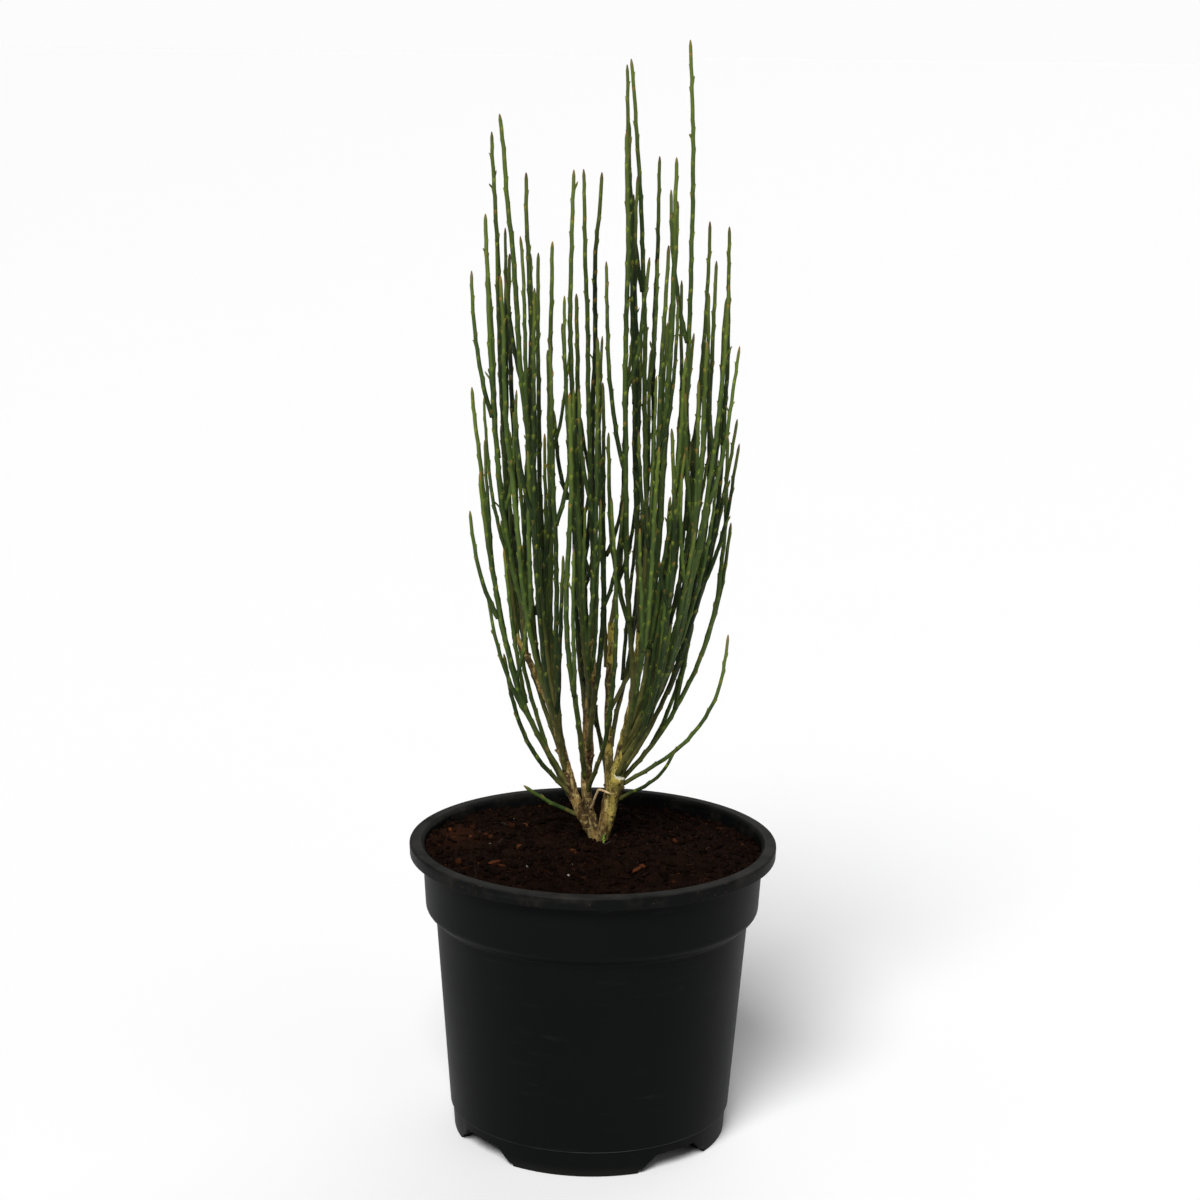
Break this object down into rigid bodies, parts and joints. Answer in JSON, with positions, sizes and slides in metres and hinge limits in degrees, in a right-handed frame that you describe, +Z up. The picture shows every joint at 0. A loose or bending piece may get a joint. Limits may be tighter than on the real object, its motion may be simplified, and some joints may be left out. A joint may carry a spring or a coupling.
{
  "type": "potted broom plant",
  "caption": "Young broom shrub with many slender upright green twigs on short woody stems, growing in compost in a round black nursery container on feet.",
  "frame": {"origin": "centre of the container's footprint, on the surface that its feet stand on", "axes": "+Z up along the container's axis and the plant, -Y towards the front view, +X to the right of it"},
  "size_m": [0.19, 0.19, 0.5608],
  "materials": {
    "pot_plastic": "satin black polypropylene, lightly scuffed and dusty",
    "compost": "crumbly dark peat, matt",
    "bark": "tan to olive bark with pale ridges, matt",
    "green_twig": "five-angled green twig with small buds, slight sheen",
    "dry_straw": "dry straw, matt",
    "bud_green": "fresh green, slight sheen"
  },
  "bodies": {
    "root": {"pot": "pot_plastic", "soil": "compost", "root_crown": "bark", "stem_right": "bark", "stem_left": "bark", "stem_centre": "bark", "stem_rear": "bark", "branch_right_1": "green_twig", "branch_right_2": "green_twig", "branch_right_3": "green_twig", "branch_right_4": "green_twig", "branch_right_5": "green_twig", "branch_right_6": "green_twig", "branch_right_7": "green_twig", "branch_right_8": "green_twig", "branch_right_9": "green_twig", "branch_right_10": "green_twig", "branch_right_11": "green_twig", "branch_right_12": "green_twig", "branch_right_13": "green_twig", "branch_right_14": "green_twig", "branch_right_15": "green_twig", "branch_right_16": "green_twig", "branch_right_17": "green_twig", "branch_right_18": "green_twig", "branch_right_19": "green_twig", "branch_right_20": "green_twig", "branch_right_21": "green_twig", "branch_left_1": "green_twig", "branch_left_2": "green_twig", "branch_left_3": "green_twig", "branch_left_4": "green_twig", "branch_left_5": "green_twig", "branch_left_6": "green_twig", "branch_left_7": "green_twig", "branch_left_8": "green_twig", "branch_left_9": "green_twig", "branch_left_10": "green_twig", "branch_left_11": "green_twig", "branch_left_12": "green_twig", "branch_left_13": "green_twig", "branch_left_14": "green_twig", "branch_left_15": "green_twig", "branch_centre_1": "green_twig", "branch_centre_2": "green_twig", "branch_centre_3": "green_twig", "branch_centre_4": "green_twig", "branch_centre_5": "green_twig", "branch_centre_6": "green_twig", "branch_centre_7": "green_twig", "branch_centre_8": "green_twig", "branch_centre_9": "green_twig", "branch_centre_10": "green_twig", "branch_rear_1": "green_twig", "branch_rear_2": "green_twig", "branch_rear_3": "green_twig", "branch_rear_4": "green_twig", "branch_rear_5": "green_twig", "dry_stalk": "dry_straw", "basal_bud": "bud_green"}
  },
  "joints": []
}
